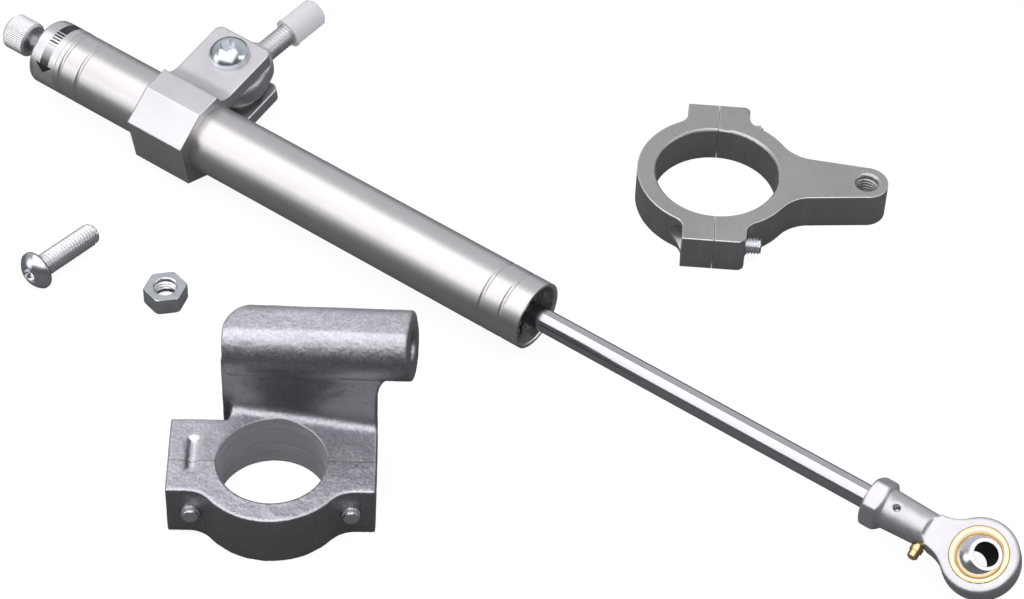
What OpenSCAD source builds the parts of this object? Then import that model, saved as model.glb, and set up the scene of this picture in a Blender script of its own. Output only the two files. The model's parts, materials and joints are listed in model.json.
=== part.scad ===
// Motorcycle steering damper with its fork clamp, frame clamp and loose fasteners.
// Origin: centre of the ball in the rod end. +X runs out of the tube along the rod, +Z is up.

/* [Damper tube] */
// Outside diameter of the damper tube
tube_od = 24; // [22:0.5:28]
// Wall thickness of the damper tube
tube_wall = 1.5; // [1.2:0.1:1.6]
// Length of the damper tube
tube_l = 215; // [195:5:260]
// Depth of the rolled grooves that hold the plug and the guide
groove_depth = 0.45; // [0.2:0.05:0.6]
// Radius of the roller that made the grooves
roller_r = 0.9; // [0.7:0.1:1.2]
// Distance between the two grooves of a pair
groove_gap = 8; // [7:0.5:9]
// Distance from a tube end to the nearer groove
groove_inset = 7.8; // [7:0.2:8.2]
// Distance from the plug end of the tube to the nearer groove
tail_groove_inset = 14.2; // [13.5:0.1:15]
// Rounding of the tube end at the plug
tail_round = 1.2; // [0.6:0.1:1.2]

/* [Rod and piston] */
// Rod diameter
rod_d = 8; // [7:0.5:9]
// Bare rod between the tube mouth and the rod end
rod_out = 130; // [110:5:160]
// Inside diameter of the inner cylinder
liner_id = 16; // [15.6:0.1:16.6]
// Wall of the inner cylinder
liner_wall = 1; // [0.8:0.1:1]
// Length of the piston
piston_l = 14; // [12:1:20]
// Diameter of the rod's threaded tail in the piston
spigot_d = 6; // [5.5:0.1:6.2]
// Length of the rubber bump stop
bumper_l = 4; // [3:0.5:6]
// Radial running clearance between moving pieces
run_gap = 0.05; // [0.03:0.01:0.08]

/* [Rod guide] */
// Length of the rod guide
guide_l = 14.5; // [13:0.5:16]
// Depth of the open recess in the tube mouth
mouth_recess = 5; // [4:0.5:7]
// Thickness of the retaining ring
ring_t = 1.2; // [1:0.1:1.5]

/* [End plug and adjuster] */
// Length of the plug's body, to the seat of the inner cylinder
plug_l = 32; // [30:1:40]
// Diameter of the adjuster knob
knob_d = 13; // [12:0.5:16]
// Length of the adjuster knob
knob_l = 9.9; // [8:0.1:14]
// Gap between the knob and the tube
knob_gap = 8.1; // [7:0.1:12]
// Number of straight knurls on the knob
knurls = 56; // [24:2:60]
// Depth of the knurls
knurl_depth = 0.25; // [0.2:0.05:0.5]
// Diameter of the adjuster stem
stem_d = 6; // [5.4:0.2:6.4]
// Diameter of the metering needle
needle_d = 3; // [2.6:0.1:3.2]

/* [Clamp] */
// Distance from the plug end of the tube to the middle of the clamp
clamp_from_tail = 63; // [50:1:150]
// Length of the clamp along the tube
clamp_l = 24; // [22:1:30]
// Wall of the clamp outside the tube
clamp_wall = 3.3; // [2.8:0.1:4]
// Angle that the clamp is turned about the tube
clamp_roll = 10; // [0:1:12]
// Distance from the tube axis to the bolt
bolt_reach = 27; // [26:0.5:34]
// Ear length beyond the bolt
ear_past_bolt = 9; // [8.5:0.5:12]
// Thickness of each ear
ear_t = 5; // [4:0.5:6]
// Distance between the ears
ear_gap = 14; // [13.6:0.1:16]
// Height of the middle of the ear gap above the tube axis
ear_mid = -1.5; // [-2:0.5:0]

/* [Spherical joints] */
// Bore through each ball
ball_bore = 8; // [7.6:0.1:8.4]
// Diameter of each ball
ball_d = 15.9; // [15.6:0.1:16.4]
// Width of each ball over its flats
ball_w = 12; // [11.4:0.2:12.6]
// Outside diameter of the stud's eye
eye_od = 24; // [23:0.5:27]
// Thickness of both eyes
eye_t = 9; // [8:0.5:9]
// Outside diameter of the bearing race in each eye
race_od = 18.6; // [18.2:0.1:19.4]
// Angle that the ball in the rod end is tipped in the rest pose
ball_tip = 23; // [0:1:24]
// Angle of the tipping direction from the rod, seen along the eye's axis
ball_tip_dir = 22; // [0:1:90]

/* [Rod end] */
// Distance from the hexagon's outer face to the ball centre
end_reach = 40.3; // [38:0.1:50]
// Outside diameter of the rod end's eye
end_eye_od = 25.4; // [24:0.2:27]
// Width across the flats of the hexagon
hex_af = 15.5; // [14:0.5:17]
// Length of the hexagon
hex_l = 6.5; // [5:0.5:8]
// Shank diameter beside the hexagon
shank_d = 13.4; // [12.6:0.2:14]
// Distance that the eye's flats reach back along the shank
flat_reach = 18.6; // [17:0.2:20]
// Angle that the eye is turned about the rod
eye_roll = 25; // [0:1:30]
// Distance from the ball centre to the grease nipple
nipple_back = 18.8; // [18.4:0.2:20]

/* [Stud] */
// Stud diameter
stud_d = 8; // [7:0.5:8.5]
// Distance from the ball centre to the stud's end
stud_reach = 39.2; // [34:0.2:44]
// Angle of the stud from square to the tube
stud_swing = 8; // [0:1:12]
// Outside diameter of the protective cap
cap_od = 10.7; // [10.4:0.1:12]
// Length of the protective cap
cap_l = 14.3; // [12:0.1:18]
// Thickness of the cap's closed end
cap_end = 1.2; // [0.8:0.1:1.6]

/* [Screws] */
// Diameter of the M8 screws
screw_d = 8; // [7.6:0.1:8]
// Head diameter of the M8 button head screws
button_d = 13.6; // [13:0.2:15]
// Head height of the M8 button head screws
button_h = 4.4; // [4:0.1:5]
// Width of the hexagon socket
socket_af = 5; // [4:0.5:6]
// Length of the loose screw's shank
loose_screw_l = 27; // [20:1:35]
// Nut width across the flats
nut_af = 13; // [12.5:0.5:14]
// Nut height
nut_h = 6.5; // [5:0.1:8]
// Tapping drill diameter of the M8 threads
tap_d = 6.8; // [6.6:0.1:7]
// Diameter of the clamp screws in both brackets
clamp_screw_d = 6; // [5:0.5:6]

/* [Arm bracket] */
// Bore of the machined bracket
arm_bore = 43; // [38:0.5:45]
// Outside diameter of the bracket's ring
arm_ring_od = 55.8; // [54.5:0.2:60]
// Thickness of the bracket
arm_t = 13.5; // [12.5:0.5:18]
// Half length across the two lugs
lug_reach = 34.2; // [34:0.2:38]
// Half width of the lugs
lug_half_w = 11; // [10:0.5:12]
// Distance from the bore's centre to the arm's threaded hole
arm_reach = 52.3; // [50:0.1:70]
// End radius of the arm
arm_end_r = 7.5; // [6.5:0.1:9]
// Half width of the arm's root
arm_root_half_w = 9.6; // [8.5:0.1:11]
// Saw cut between the two halves of each bracket
saw_cut = 0.15; // [0.1:0.05:0.6]

/* [Cast bracket] */
// Bore of the cast bracket
cast_bore = 35; // [30:0.5:36]
// Wall of the cast cap outside the bore
cast_wall = 7.5; // [6.5:0.1:9]
// Height of the cast block
cast_t = 20; // [18:0.5:24]
// Length of the cast block
cast_l = 66; // [65:1:76]
// Depth of the block in front of the bore's centre
cast_front = 12.7; // [12:0.1:14]
// Depth of the block behind the bore's centre
cast_back = 17.7; // [17:0.1:19]
// Distance between the cast bracket's screws
cast_pitch = 50.4; // [50:0.2:52]
// Thickness of the upright web
web_t = 9; // [8:0.5:11]
// Angle between the web and the block
web_turn = 9.4; // [0:0.2:12]
// Diameter of the boss on top of the web
boss_d = 22.7; // [21:0.1:26]
// Distance along the web from its outer edge to the boss's mouth
boss_l = 60.7; // [58:0.1:68]
// Height of the boss axis at its threaded end
boss_h = 52.1; // [50:0.1:60]
// Slope of the boss
boss_slope = 6.4; // [0:0.1:8]

/* [Hidden] */
$fn = 72;

// Radii of the damper
tube_r = tube_od / 2;
bore_r = tube_r - tube_wall;
fit_r = bore_r - run_gap;
rod_r = rod_d / 2;
liner_r = liner_id / 2;
liner_out_r = liner_r + liner_wall;
spigot_seat_r = liner_r - run_gap;
spigot_r = spigot_d / 2;
stem_r = stem_d / 2;
needle_r = needle_d / 2;
seal_cut = 0.05;
eps = 0.01;

// Stations along the damper
mouth_x = -(end_reach + rod_out);
tail_x = mouth_x - tube_l;
ring_x = mouth_x - mouth_recess - ring_t;
guide_x = ring_x - guide_l;
seat_l = 3;
plug_face = 0.8;
seat_x = tail_x + plug_l;
knob_x = tail_x - knob_gap - knob_l;
piston_x = guide_x - seat_l - bumper_l - 0.3 - piston_l;
mouth_grooves = [mouth_x - groove_inset, mouth_x - groove_inset - groove_gap];
tail_grooves = [tail_x + tail_groove_inset, tail_x + tail_groove_inset + groove_gap];

// Adjuster
gland_r = 5.6;
gland_l = 9;
gland_out = 3.2;
stem_in = 12;
stem_neck_r = stem_r + 0.8;
stem_end_x = tail_x + stem_in;
chamber_r = 2.5;
chamber_x = tail_x + 15;
orifice_r = 1.1;
orifice_x = tail_x + plug_l - 5;
gallery_x = tail_x + 24.6;
gallery_r = liner_out_r + 0.2;
port_r = 1;
port_x = tail_x + 26.5;
o_ring_r = 0.9;
plug_ring_x = tail_x + 9.6;
stem_ring_r = 0.8;
stem_ring_x = tail_x + 4.5;
set_screw_r = 1.5;

// Guide details
bush_wall = 1;
bush_l = 7;
seal_r = 7.2;
seal_l = 3.5;
wiper_l = 2.2;
guide_ring_x = guide_x + 3.2;

// Clamp details
clamp_x = tail_x + clamp_from_tail;
flat_r = tube_r + clamp_wall;
front_half = flat_r * 0.6;
roof_y = -3.2;
roof_z = flat_r + 0.5;
roof_end_y = 6.7;
root_y = bolt_reach - 13.4;
ear_top = ear_mid + ear_gap / 2 + ear_t;
ear_low = ear_mid - ear_gap / 2 - ear_t;
ear_y = bolt_reach + ear_past_bolt;
ear_corner = 2.6;
washer_r = 7.3;
washer_t = 1.2;
bolt_l = ear_gap + 2 * ear_t + washer_t - 0.5;
spacer_r = 5.6;
spacer_t = (ear_gap - ball_w) / 2;

// Spherical joints
ball_r = ball_d / 2;
ball_bore_r = ball_bore / 2;
race_r = race_od / 2;
race_lip = 1.1;
race_bevel = 1.35;
eye_r = eye_od / 2;
end_eye_r = end_eye_od / 2;
stud_r = stud_d / 2;
cap_r = cap_od / 2;
cap_x = stud_reach + 0.2 + cap_end - cap_l;

// The clamp's lowest edge stands on the table
table_z = roof_y * sin(clamp_roll) - roof_z * cos(clamp_roll);

// Loose pieces on the table, placed from the ball in the rod end
arm_at = [-162.8, 97.2];
arm_turn = 32;
cast_at = [-197.2, -105.5];
cast_turn = 36.7;
nut_at = [-282.7, -58];
nut_turn = 47;
screw_at = [-321.7, -79.4];
screw_turn = 88.1;
screw_lean = asin((button_d - screw_d) / 2 / loose_screw_l);

// Arm bracket
arm_bore_r = arm_bore / 2;
arm_ring_r = arm_ring_od / 2;
arm_fillet = 14;
lug_fillet = 5;
lug_corner = 2.5;
arm_screw_y = (arm_bore_r + lug_reach) / 2 + 0.6;
clamp_screw_r = clamp_screw_d / 2;
head_r = clamp_screw_r * 5 / 3;
head_h = clamp_screw_d;
head_seat = 5;
arm_chamfer = 0.7;

// Cast bracket
cast_bore_r = cast_bore / 2;
cast_out_r = cast_bore_r + cast_wall;
web_foot = [-16.9, cast_back + 5.2];
boss_r = boss_d / 2;
boss_w = 7.44;
boss_turn = 1.7;
boss_inset = 1.4;
boss_round = 8.5;
boss_round_turn = 45;
boss_top = boss_r - 1;
boss_top_tilt = 2;
web_rise = 3;
flare_w = 4.5;
flare_h = 11;
foot_fillet = 4;
boss_hole_l = 22;

// Turns a shape that stands on +Z so that it lies along +X, starting at x
module lay(x = 0) {
    translate([x, 0, 0]) rotate([0, 90, 0]) children();
}

module rod_shape(x, l, r) {
    lay(x) cylinder(h = l, r = r);
}

module tube_shape(x, l, r_out, r_in) {
    difference() {
        rod_shape(x, l, r_out);
        rod_shape(x - 1, l + 2, r_in);
    }
}

module cone_shape(x, l, r1, r2) {
    lay(x) cylinder(h = l, r1 = r1, r2 = r2);
}

// A ring of round section about the X axis
module bead(x, r_mid, r) {
    lay(x) rotate_extrude() translate([r_mid, 0]) circle(r = r, $fn = 24);
}

// Fillet between an eye of radius eye and a bar of half width half_w that leaves it along +X
module fillet_web(eye, half_w, r) {
    yc = half_w + r;
    xc = sqrt((eye + r) * (eye + r) - yc * yc);
    difference() {
        polygon([[0, 0], [xc, 0], [xc, yc]]);
        translate([xc, yc]) circle(r = r);
    }
}

module both_webs(eye, half_w, r) {
    fillet_web(eye, half_w, r);
    mirror([0, 1]) fillet_web(eye, half_w, r);
}

// Extrudes a section drawn in Y and Z along X
module along_x(x, l) {
    translate([x, 0, 0]) rotate([90, 0, 90]) linear_extrude(height = l) children();
}

// Damper tube and what is fixed in it

module outer_tube() {
    color([0.78, 0.77, 0.77]) difference() {
        union() {
            rod_shape(tail_x + tail_round, tube_l - tail_round, tube_r);
            rod_shape(tail_x, tail_round + eps, tube_r - tail_round);
            bead(tail_x + tail_round, tube_r - tail_round, tail_round);
        }
        rod_shape(tail_x - 1, tube_l + 2, bore_r);
        for (x = concat(mouth_grooves, tail_grooves))
            bead(x, tube_r + roller_r - groove_depth, roller_r);
        rod_shape(ring_x - run_gap, ring_t + 2 * run_gap, bore_r + 0.6);
        cone_shape(mouth_x - 0.5, 0.5 + eps, bore_r, bore_r + 0.5);
    }
}

module end_plug() {
    color([0.55, 0.55, 0.57]) difference() {
        union() {
            rod_shape(tail_x + plug_face, gallery_x - tail_x - plug_face, fit_r);
            rod_shape(gallery_x, seat_x - gallery_x, gallery_r);
            rod_shape(seat_x - 1, seat_l + 1, spigot_seat_r);
        }
        rod_shape(tail_x, gland_l - gland_out, gland_r);
        rod_shape(tail_x, stem_in + 3, stem_r + run_gap);
        rod_shape(chamber_x - eps, orifice_x - chamber_x, chamber_r);
        rod_shape(orifice_x - 1, plug_l, orifice_r);
        bead(plug_ring_x, fit_r, o_ring_r + seal_cut);
        translate([port_x, 0, 0]) cylinder(h = 2 * tube_r, r = port_r, center = true);
    }
}

module plug_o_ring() {
    color([0.08, 0.08, 0.08]) difference() {
        bead(plug_ring_x, fit_r, o_ring_r);
        tube_shape(plug_ring_x - 2, 4, tube_r, fit_r);
    }
}

module plug_gland() {
    color([0.6, 0.6, 0.62]) difference() {
        rod_shape(tail_x - gland_out, gland_l, gland_r - seal_cut);
        rod_shape(tail_x - gland_out - 1, gland_l + 2, stem_r + run_gap);
        bead(stem_ring_x, stem_r + stem_ring_r, stem_ring_r + seal_cut);
    }
}

module stem_o_ring() {
    color([0.08, 0.08, 0.08]) difference() {
        bead(stem_ring_x, stem_r + stem_ring_r, stem_ring_r);
        rod_shape(stem_ring_x - 2, 4, stem_r + run_gap);
    }
}

module inner_cylinder() {
    color([0.7, 0.7, 0.72]) tube_shape(seat_x, guide_x - seat_x, liner_out_r, liner_r);
}

module rod_guide() {
    color([0.5, 0.5, 0.52]) difference() {
        union() {
            rod_shape(guide_x, guide_l, fit_r);
            rod_shape(guide_x - seat_l, seat_l + 1, spigot_seat_r);
        }
        rod_shape(guide_x - seat_l - 1, guide_l + 9, rod_r + bush_wall + seal_cut);
        rod_shape(ring_x - seal_l - wiper_l, seal_l + wiper_l + 1, seal_r + seal_cut);
        bead(guide_ring_x, fit_r, o_ring_r + seal_cut);
    }
}

module guide_o_ring() {
    color([0.08, 0.08, 0.08]) difference() {
        bead(guide_ring_x, fit_r, o_ring_r);
        tube_shape(guide_ring_x - 2, 4, tube_r, fit_r);
    }
}

module rod_bush() {
    color([0.72, 0.55, 0.25])
        tube_shape(guide_x, bush_l, rod_r + bush_wall, rod_r + run_gap);
}

module rod_seal() {
    color([0.07, 0.07, 0.07])
        tube_shape(ring_x - seal_l - wiper_l, seal_l - seal_cut, seal_r, rod_r + run_gap);
}

module rod_wiper() {
    color([0.1, 0.1, 0.1])
        tube_shape(ring_x - wiper_l, wiper_l - seal_cut, seal_r, rod_r + run_gap);
}

// Open ring with two plier eyes that turn inwards at its lower side
module retaining_ring() {
    ring_out = bore_r + 0.55;
    ring_in = bore_r - 1.3;
    eye_at = ring_in - 0.3;
    color([0.35, 0.36, 0.38]) rotate([-100, 0, 0]) difference() {
        union() {
            tube_shape(ring_x, ring_t, ring_out, ring_in);
            for (a = [-15, 15])
                rotate([a, 0, 0]) translate([0, eye_at, 0]) rod_shape(ring_x, ring_t, 1.5);
        }
        along_x(ring_x - 1, ring_t + 2) polygon([[0, 0], [2 * bore_r, 2], [2 * bore_r, -2]]);
        for (a = [-15, 15])
            rotate([a, 0, 0]) translate([0, eye_at, 0]) rod_shape(ring_x - 1, ring_t + 2, 0.7);
    }
}

module bump_stop() {
    color([0.12, 0.12, 0.12])
        tube_shape(guide_x - seat_l - bumper_l, bumper_l, liner_r - 1, rod_r + 0.3);
}

// Thin printed band round the tube, between its plug end and the first groove
module label_band() {
    label_w = 9.2;
    label_t = 0.12;
    color([0.82, 0.82, 0.83]) intersection() {
        tube_shape(tail_x + 2.4, label_w, tube_r + label_t, tube_r);
        rotate([30, 0, 0]) along_x(tail_x, 20)
            polygon([[0, 0], [30, 0], [30, 30], [-30, 30], [-30, 11]]);
    }
}

// Adjuster

function knurl_points(r, depth, n) = [
    for (i = [0 : 2 * n - 1])
        let (rr = i % 2 == 0 ? r : r - depth, a = i * 180 / n)
        [rr * cos(a), rr * sin(a)]
];

module adjuster_knob() {
    knob_r = knob_d / 2;
    edge = 0.9;
    color([0.8, 0.8, 0.8]) difference() {
        intersection() {
            lay(knob_x) linear_extrude(height = knob_l)
                polygon(knurl_points(knob_r, knurl_depth, knurls));
            union() {
                cone_shape(knob_x, edge, knob_r - edge, knob_r);
                rod_shape(knob_x + edge - eps, knob_l - 2 * edge + 2 * eps, knob_r);
                cone_shape(knob_x + knob_l - edge, edge, knob_r, knob_r - edge);
            }
        }
        rod_shape(knob_x + 2, knob_l, stem_r + seal_cut);
        translate([knob_x + knob_l / 2 + 1, 0, -knob_r])
            cylinder(h = knob_r, r = set_screw_r + seal_cut);
    }
}

module adjuster_stem() {
    color([0.45, 0.46, 0.48]) difference() {
        union() {
            rod_shape(knob_x + 2 + seal_cut, stem_end_x - knob_x - 2, stem_r);
            rod_shape(tail_x - knob_gap + seal_cut, knob_gap - gland_out - 0.4, stem_neck_r);
        }
        rod_shape(tail_x, stem_in + 1, needle_r + run_gap);
    }
}

module knob_set_screw() {
    hole_l = knob_d / 2 - stem_r;
    color([0.2, 0.2, 0.22]) translate([knob_x + knob_l / 2 + 1, 0, -stem_r - hole_l + 0.5])
        difference() {
            cylinder(h = hole_l - 0.6, r = set_screw_r);
            translate([0, 0, -1]) cylinder(h = 2.2, r = 0.85, $fn = 6);
        }
}

module metering_needle() {
    tip_l = 4;
    needle_x = tail_x + 1.5;
    needle_l = orifice_x - needle_x - tip_l;
    color([0.75, 0.75, 0.78]) {
        rod_shape(needle_x, needle_l, needle_r);
        cone_shape(needle_x + needle_l - eps, tip_l, needle_r, 0.5);
    }
}

// Piston and rod

module piston() {
    color([0.6, 0.6, 0.62]) difference() {
        rod_shape(piston_x, piston_l, liner_r - run_gap);
        rod_shape(piston_x - 1, piston_l + 2, spigot_r + run_gap);
        tube_shape(piston_x + piston_l / 2 - 2, 4, liner_r + 1, liner_r - 1.2);
        for (a = [0 : 60 : 300])
            rotate([a, 0, 0]) translate([0, 5.2, 0]) rod_shape(piston_x - 1, piston_l + 2, 0.7);
    }
}

module piston_ring() {
    color([0.25, 0.22, 0.2])
        tube_shape(piston_x + piston_l / 2 - 1.95, 3.9, liner_r - run_gap, liner_r - 1.15);
}

module shim_disc() {
    color([0.65, 0.66, 0.7])
        tube_shape(piston_x - 0.55, 0.5, liner_r - 1.6, spigot_r + run_gap);
}

module piston_rod() {
    spigot_x = piston_x - 7;
    color([0.85, 0.85, 0.87]) {
        rod_shape(piston_x + piston_l + seal_cut, -end_reach - 0.2 - piston_x - piston_l, rod_r);
        rod_shape(spigot_x, piston_x + piston_l + 1 - spigot_x, spigot_r);
        rod_shape(-end_reach - 1, 15, rod_r - 0.4);
    }
}

module piston_nut() {
    color([0.6, 0.6, 0.62]) difference() {
        lay(piston_x - 5.6) cylinder(h = 5, r = 10 / sqrt(3), $fn = 6);
        rod_shape(piston_x - 8, 10, spigot_r + eps);
    }
}

// Rod end, in its own frame: the eye's axis along Z, the shank towards -X

module eye_ring(r, t, soft) {
    rotate_extrude() difference() {
        translate([0, -t / 2]) square([r, t]);
        for (s = [-1, 1])
            translate([r - soft, s * (t / 2 - soft)]) difference() {
                translate([0, s > 0 ? 0 : -soft - 1]) square([soft + 1, soft + 1]);
                circle(r = soft, $fn = 48);
            }
    }
}

module rod_end_body() {
    shank_r = shank_d / 2;
    shank_end = 10.8;
    color([0.7, 0.7, 0.7]) rotate([eye_roll, 0, 0]) difference() {
        union() {
            intersection() {
                lay(-end_reach) rotate(30) cylinder(h = hex_l, r = hex_af / sqrt(3), $fn = 6);
                union() {
                    cone_shape(-end_reach, 1, hex_af / 2 - 0.4, hex_af / 2 + 1.3);
                    rod_shape(-end_reach + 0.9, hex_l - 1.8, hex_af / 2 + 1.3);
                    cone_shape(-end_reach + hex_l - 1, 1, hex_af / 2 + 1.3, hex_af / 2 - 0.4);
                }
            }
            difference() {
                cone_shape(hex_l - end_reach - eps, end_reach - hex_l - shank_end,
                    shank_r, shank_r - 1);
                for (s = [0, 1]) mirror([0, 0, s]) translate([0, 0, eye_t / 2])
                    cylinder(h = 2 * shank_r, r = flat_reach);
            }
            eye_ring(end_eye_r, eye_t, 1.2);
            translate([0, 0, -eye_t / 2]) linear_extrude(height = eye_t)
                mirror([1, 0]) both_webs(end_eye_r - 0.3, shank_r - 1, 13);
        }
        cylinder(h = 2 * eye_t, r = race_r + seal_cut, center = true);
        rod_shape(-end_reach - 1, 16, rod_r - 0.35);
        translate([-end_reach + hex_l + 4.2, 0, 0]) cylinder(h = shank_r + 1, r = 1.1);
        translate([-nipple_back, 0, 0]) rotate([90, 0, 0]) cylinder(h = shank_r + 1, r = 1.6);
    }
}

module grease_nipple() {
    base = shank_d / 2 - 0.3;
    color([0.83, 0.66, 0.3]) rotate([eye_roll, 0, 0]) translate([-nipple_back, 0, 0])
        rotate([90, 0, 0]) {
            translate([0, 0, base - 3]) cylinder(h = 3.2, r = 1.55);
            translate([0, 0, base]) cylinder(h = 1.6, r = 2.15);
            translate([0, 0, base + 1.6 - eps]) cylinder(h = 2, r = 1.75);
            translate([0, 0, base + 3.6 - 2 * eps]) cylinder(h = 0.6, r1 = 1.75, r2 = 1.1);
        }
}

// Bearing race with its spherical seat, axis along Z
module race_shape() {
    difference() {
        cylinder(h = eye_t, r = race_r, center = true);
        sphere(r = ball_r + run_gap, $fn = 96);
        for (s = [0, 1]) mirror([0, 0, s]) translate([0, 0, eye_t / 2 - race_bevel])
            cylinder(h = race_bevel + eps, r1 = race_r - 2.2, r2 = race_r - race_lip);
    }
}

// Ball with two flats and a bore, axis along Z
module ball_shape() {
    difference() {
        intersection() {
            sphere(r = ball_r, $fn = 96);
            cube([3 * ball_r, 3 * ball_r, ball_w], center = true);
        }
        cylinder(h = 2 * ball_w, r = ball_bore_r, center = true);
    }
}

module rod_end_race() {
    color([0.8, 0.65, 0.35]) rotate([eye_roll, 0, 0]) race_shape();
}

module rod_end_ball() {
    color([0.75, 0.75, 0.78]) rotate([eye_roll, 0, 0])
        rotate([0, 0, ball_tip_dir]) rotate([0, ball_tip, 0]) ball_shape();
}

// Clamp, in its own frame: the ears point along +Y before the clamp is turned about the tube

module at_clamp() {
    rotate([clamp_roll, 0, 0]) translate([clamp_x, 0, 0]) children();
}

module at_joint() {
    at_clamp() translate([0, bolt_reach, ear_mid]) children();
}

// Hollow quarter between a flat at height top and an ear at height low
function scoop(y0, y1, top, low, n) = [
    for (i = [0 : n])
        let (a = 90 * i / n)
        [y0 + (y1 - y0) * (1 - cos(a)), top + (low - top) * sin(a)]
];

module clamp_section() {
    top_scoop = scoop(roof_end_y, root_y, roof_z - 0.3, ear_top, 8);
    low_scoop = scoop(roof_end_y, root_y, -roof_z + 0.3, ear_low, 8);
    polygon(concat(
        [[-flat_r, -front_half], [-flat_r, front_half], [roof_y, roof_z]],
        top_scoop,
        [[ear_y, ear_top], [ear_y, ear_low]],
        [for (i = [8 : -1 : 0]) low_scoop[i]],
        [[roof_y, -roof_z]]));
}

module clamp_block() {
    half = clamp_l / 2;
    color([0.74, 0.73, 0.74]) at_clamp() difference() {
        along_x(-half, clamp_l) clamp_section();
        rod_shape(-clamp_l, 2 * clamp_l, tube_r + run_gap);
        translate([-clamp_l, 0, ear_mid - ear_gap / 2]) cube([2 * clamp_l, 2 * ear_y, ear_gap]);
        for (s = [-1, 1])
            translate([s * (half - ear_corner), ear_y - ear_corner, 0]) difference() {
                translate([s > 0 ? 0 : -ear_corner - 1, 0, -2 * flat_r])
                    cube([ear_corner + 1, ear_corner + 1, 4 * flat_r]);
                cylinder(h = 5 * flat_r, r = ear_corner, center = true);
            }
        translate([0, bolt_reach, 0]) cylinder(h = 2 * flat_r, r = screw_d / 2 + 0.2);
        translate([0, bolt_reach, -2 * flat_r]) cylinder(h = 2 * flat_r, r = screw_d / 2 + eps);
    }
}

// Domed screw head standing on z = 0, with its hexagon socket
module button_head() {
    dome_r = 8.2;
    difference() {
        intersection() {
            translate([0, 0, button_h - dome_r]) sphere(r = dome_r, $fn = 96);
            cylinder(h = button_h - 0.3, r = button_d / 2);
        }
        translate([0, 0, button_h - 3]) cylinder(h = 4, r = socket_af / sqrt(3), $fn = 6);
    }
}

module button_screw(l) {
    button_head();
    translate([0, 0, 1 - l]) cylinder(h = l, r = screw_d / 2 - run_gap);
    translate([0, 0, -l]) cylinder(h = 1 + eps, r1 = screw_d / 2 - 0.9, r2 = screw_d / 2 - run_gap);
}

module clamp_bolt() {
    color([0.8, 0.82, 0.86]) at_clamp() translate([0, bolt_reach, ear_top + washer_t])
        button_screw(bolt_l);
}

module bolt_washer() {
    color([0.82, 0.83, 0.86]) at_clamp() translate([0, bolt_reach, ear_top]) difference() {
        cylinder(h = washer_t, r = washer_r);
        translate([0, 0, -1]) cylinder(h = washer_t + 2, r = screw_d / 2 + 0.2);
    }
}

module ball_spacers() {
    color([0.7, 0.72, 0.74]) at_joint() for (s = [-1, 1])
        translate([0, 0, s * (ball_w + spacer_t) / 2]) difference() {
            cylinder(h = spacer_t, r = spacer_r, center = true);
            cylinder(h = spacer_t + 2, r = screw_d / 2 + 0.1, center = true);
        }
}

// Ball joint between the ears, with its threaded stud

module joint_ball() {
    color([0.78, 0.78, 0.8]) at_joint() ball_shape();
}

module joint_race() {
    color([0.6, 0.6, 0.62]) at_joint() race_shape();
}

module at_stud() {
    at_joint() rotate([0, 0, 90 - stud_swing]) children();
}

module stud_body() {
    neck_x = eye_r - 2.2;
    shoulder_x = 5.5;
    color([0.72, 0.74, 0.78]) at_stud() {
        difference() {
            union() {
                eye_ring(eye_r, eye_t, 2.4);
                translate([shoulder_x, 0, 0]) eye_ring(eye_r - 2, eye_t - 0.6, 2.4);
            }
            cylinder(h = 2 * eye_t, r = race_r + seal_cut, center = true);
        }
        rod_shape(neck_x, stud_reach - neck_x - 1, stud_r);
        cone_shape(stud_reach - 1 - eps, 1, stud_r, stud_r - 0.9);
    }
}

module stud_cap() {
    lip_r = cap_r + 0.25;
    color([0.85, 0.86, 0.87, 0.6]) at_stud() difference() {
        union() {
            rod_shape(cap_x, cap_l - 0.9, cap_r);
            cone_shape(cap_x + cap_l - 0.9 - eps, 0.9, cap_r, cap_r - 0.9);
            rod_shape(cap_x, 1, lip_r);
        }
        rod_shape(cap_x - 1, cap_l - cap_end + 1, stud_r + run_gap);
    }
}

// Machined bracket with an arm, in its own frame: bore axis along Z, arm along +X

module at_arm_bracket() {
    translate([arm_at[0], arm_at[1], table_z]) rotate([0, 0, arm_turn]) children();
}

module arm_outline() {
    circle(r = arm_ring_r);
    translate([-lug_half_w, -lug_reach]) square([2 * lug_half_w - lug_corner, 2 * lug_reach]);
    translate([-lug_half_w, lug_corner - lug_reach])
        square([2 * lug_half_w, 2 * (lug_reach - lug_corner)]);
    for (s = [-1, 1])
        translate([lug_half_w - lug_corner, s * (lug_reach - lug_corner)]) circle(r = lug_corner);
    for (a = [90, -90]) rotate(a) both_webs(arm_ring_r, lug_half_w, lug_fillet);
    both_webs(arm_ring_r, arm_root_half_w, arm_fillet);
    polygon([[0, -arm_root_half_w], [34, -arm_root_half_w], [arm_reach, -arm_end_r],
        [arm_reach, arm_end_r], [34, arm_root_half_w], [0, arm_root_half_w]]);
    translate([arm_reach, 0]) circle(r = arm_end_r);
}

module arm_bracket_solid() {
    difference() {
        linear_extrude(height = arm_t) arm_outline();
        translate([0, 0, -1]) cylinder(h = arm_t + 2, r = arm_bore_r);
        translate([0, 0, arm_t - arm_chamfer])
            cylinder(h = arm_chamfer + eps, r1 = arm_bore_r, r2 = arm_bore_r + arm_chamfer);
        translate([arm_reach, 0, -1]) cylinder(h = arm_t + 2, r = tap_d / 2);
        translate([arm_reach, 0, arm_t - 1.2])
            cylinder(h = 1.2 + eps, r1 = tap_d / 2, r2 = tap_d / 2 + 1.2);
        for (s = [-1, 1]) translate([0, s * arm_screw_y, arm_t / 2]) {
            rod_shape(-2 * lug_half_w, 4 * lug_half_w, clamp_screw_r + run_gap);
            rod_shape(-head_seat - 25, 25, head_r + 0.2);
        }
    }
}

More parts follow.
